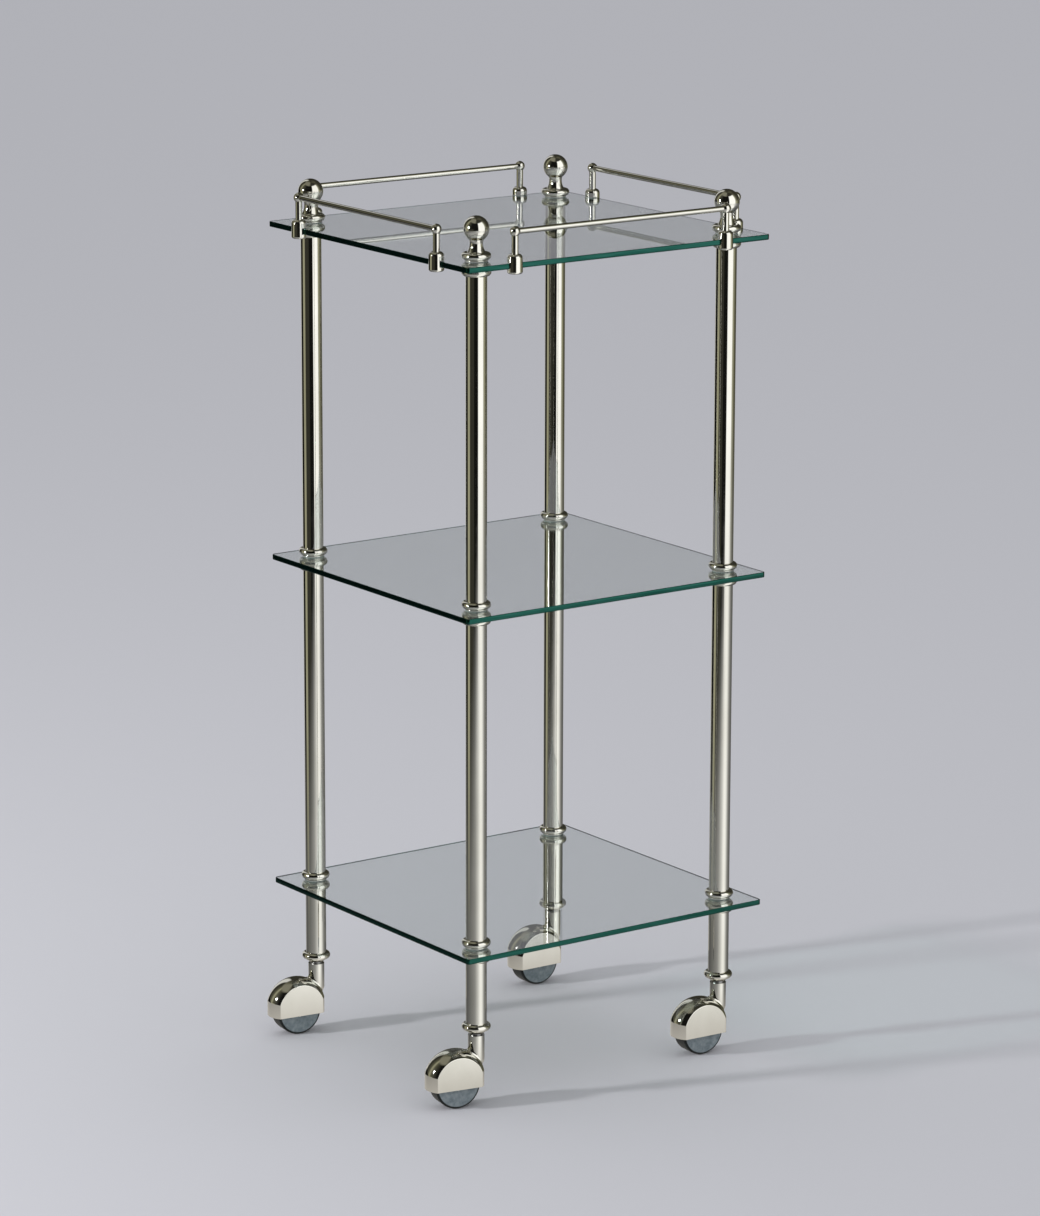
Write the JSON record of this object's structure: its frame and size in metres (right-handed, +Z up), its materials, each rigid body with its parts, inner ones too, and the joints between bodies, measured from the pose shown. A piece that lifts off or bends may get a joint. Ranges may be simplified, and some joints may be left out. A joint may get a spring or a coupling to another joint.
{
  "type": "glass trolley table",
  "caption": "Tall slim trolley table with clear glass shelves on polished tubular posts, ball finials, a low gallery rail round the top and hooded swivel casters.",
  "frame": {"origin": "on the floor, under the middle of the glass shelves", "axes": "+Z up, +X along the longer side of the shelves, +Y along the shorter side"},
  "size_m": [0.357, 0.3318, 0.8087],
  "materials": {
    "polished_nickel": "polished nickel plate on brass",
    "clear_glass": "clear float glass, polished green edges",
    "wheel_rubber": "blue-grey moulded rubber",
    "threaded_steel": "zinc-plated",
    "socket_steel": "bright steel",
    "screw_steel": "bright steel",
    "clear_plastic": "clear soft plastic",
    "bush_nylon": "natural nylon"
  },
  "bodies": {
    "frame": {"top_shelf": "clear_glass", "top_shelf_collars": "polished_nickel", "middle_shelf": "clear_glass", "middle_shelf_collars": "polished_nickel", "bottom_shelf": "clear_glass", "bottom_shelf_collars": "polished_nickel", "shelf_washers": "clear_plastic", "tie_rods": "threaded_steel", "caster_sockets": "socket_steel", "finial_front_left": "polished_nickel", "upper_tube_front_left": "polished_nickel", "middle_tube_front_left": "polished_nickel", "leg_tube_front_left": "polished_nickel", "ferrule_front_left": "polished_nickel", "finial_front_right": "polished_nickel", "upper_tube_front_right": "polished_nickel", "middle_tube_front_right": "polished_nickel", "leg_tube_front_right": "polished_nickel", "ferrule_front_right": "polished_nickel", "finial_back_left": "polished_nickel", "upper_tube_back_left": "polished_nickel", "middle_tube_back_left": "polished_nickel", "leg_tube_back_left": "polished_nickel", "ferrule_back_left": "polished_nickel", "finial_back_right": "polished_nickel", "upper_tube_back_right": "polished_nickel", "middle_tube_back_right": "polished_nickel", "leg_tube_back_right": "polished_nickel", "ferrule_back_right": "polished_nickel", "gallery_posts_front": "polished_nickel", "gallery_rail_front": "polished_nickel", "gallery_posts_right": "polished_nickel", "gallery_rail_right": "polished_nickel", "gallery_posts_back": "polished_nickel", "gallery_rail_back": "polished_nickel", "gallery_posts_left": "polished_nickel", "gallery_rail_left": "polished_nickel", "gallery_grub_screws": "screw_steel", "gallery_pads": "clear_plastic"},
    "caster_front_left": {"caster_hood_front_left": "polished_nickel", "caster_stem_front_left": "socket_steel", "caster_axle_front_left": "socket_steel"},
    "wheel_front_left": {"caster_wheel_front_left": "wheel_rubber", "wheel_bush_front_left": "bush_nylon"},
    "caster_front_right": {"caster_hood_front_right": "polished_nickel", "caster_stem_front_right": "socket_steel", "caster_axle_front_right": "socket_steel"},
    "wheel_front_right": {"caster_wheel_front_right": "wheel_rubber", "wheel_bush_front_right": "bush_nylon"},
    "caster_back_left": {"caster_hood_back_left": "polished_nickel", "caster_stem_back_left": "socket_steel", "caster_axle_back_left": "socket_steel"},
    "wheel_back_left": {"caster_wheel_back_left": "wheel_rubber", "wheel_bush_back_left": "bush_nylon"},
    "caster_back_right": {"caster_hood_back_right": "polished_nickel", "caster_stem_back_right": "socket_steel", "caster_axle_back_right": "socket_steel"},
    "wheel_back_right": {"caster_wheel_back_right": "wheel_rubber", "wheel_bush_back_right": "bush_nylon"}
  },
  "joints": [
    {"name": "caster_swivel_front_left", "type": "hinge", "parent": "frame", "child": "caster_front_left", "pos_m": [-0.137, -0.132, 0.067], "axis": [0, 0, 1], "continuous": true},
    {"name": "wheel_spin_front_left", "type": "hinge", "parent": "caster_front_left", "child": "wheel_front_left", "pos_m": [-0.15827, -0.12825, 0.02175], "axis": [-0.1736, -0.9848, 0], "continuous": true},
    {"name": "caster_swivel_front_right", "type": "hinge", "parent": "frame", "child": "caster_front_right", "pos_m": [0.137, -0.132, 0.067], "axis": [0, 0, 1], "continuous": true},
    {"name": "wheel_spin_front_right", "type": "hinge", "parent": "caster_front_right", "child": "wheel_front_right", "pos_m": [0.11543, -0.13087, 0.02175], "axis": [-0.0523, -0.9986, 0], "continuous": true},
    {"name": "caster_swivel_back_left", "type": "hinge", "parent": "frame", "child": "caster_back_left", "pos_m": [-0.137, 0.132, 0.067], "axis": [0, 0, 1], "continuous": true},
    {"name": "wheel_spin_back_left", "type": "hinge", "parent": "caster_back_left", "child": "wheel_back_left", "pos_m": [-0.15844, 0.13463, 0.02175], "axis": [-0.1219, -0.9925, 0], "continuous": true},
    {"name": "caster_swivel_back_right", "type": "hinge", "parent": "frame", "child": "caster_back_right", "pos_m": [0.137, 0.132, 0.067], "axis": [0, 0, 1], "continuous": true},
    {"name": "wheel_spin_back_right", "type": "hinge", "parent": "caster_back_right", "child": "wheel_back_right", "pos_m": [0.1154, 0.13238, 0.02175], "axis": [-0.0175, -0.9998, 0], "continuous": true}
  ]
}
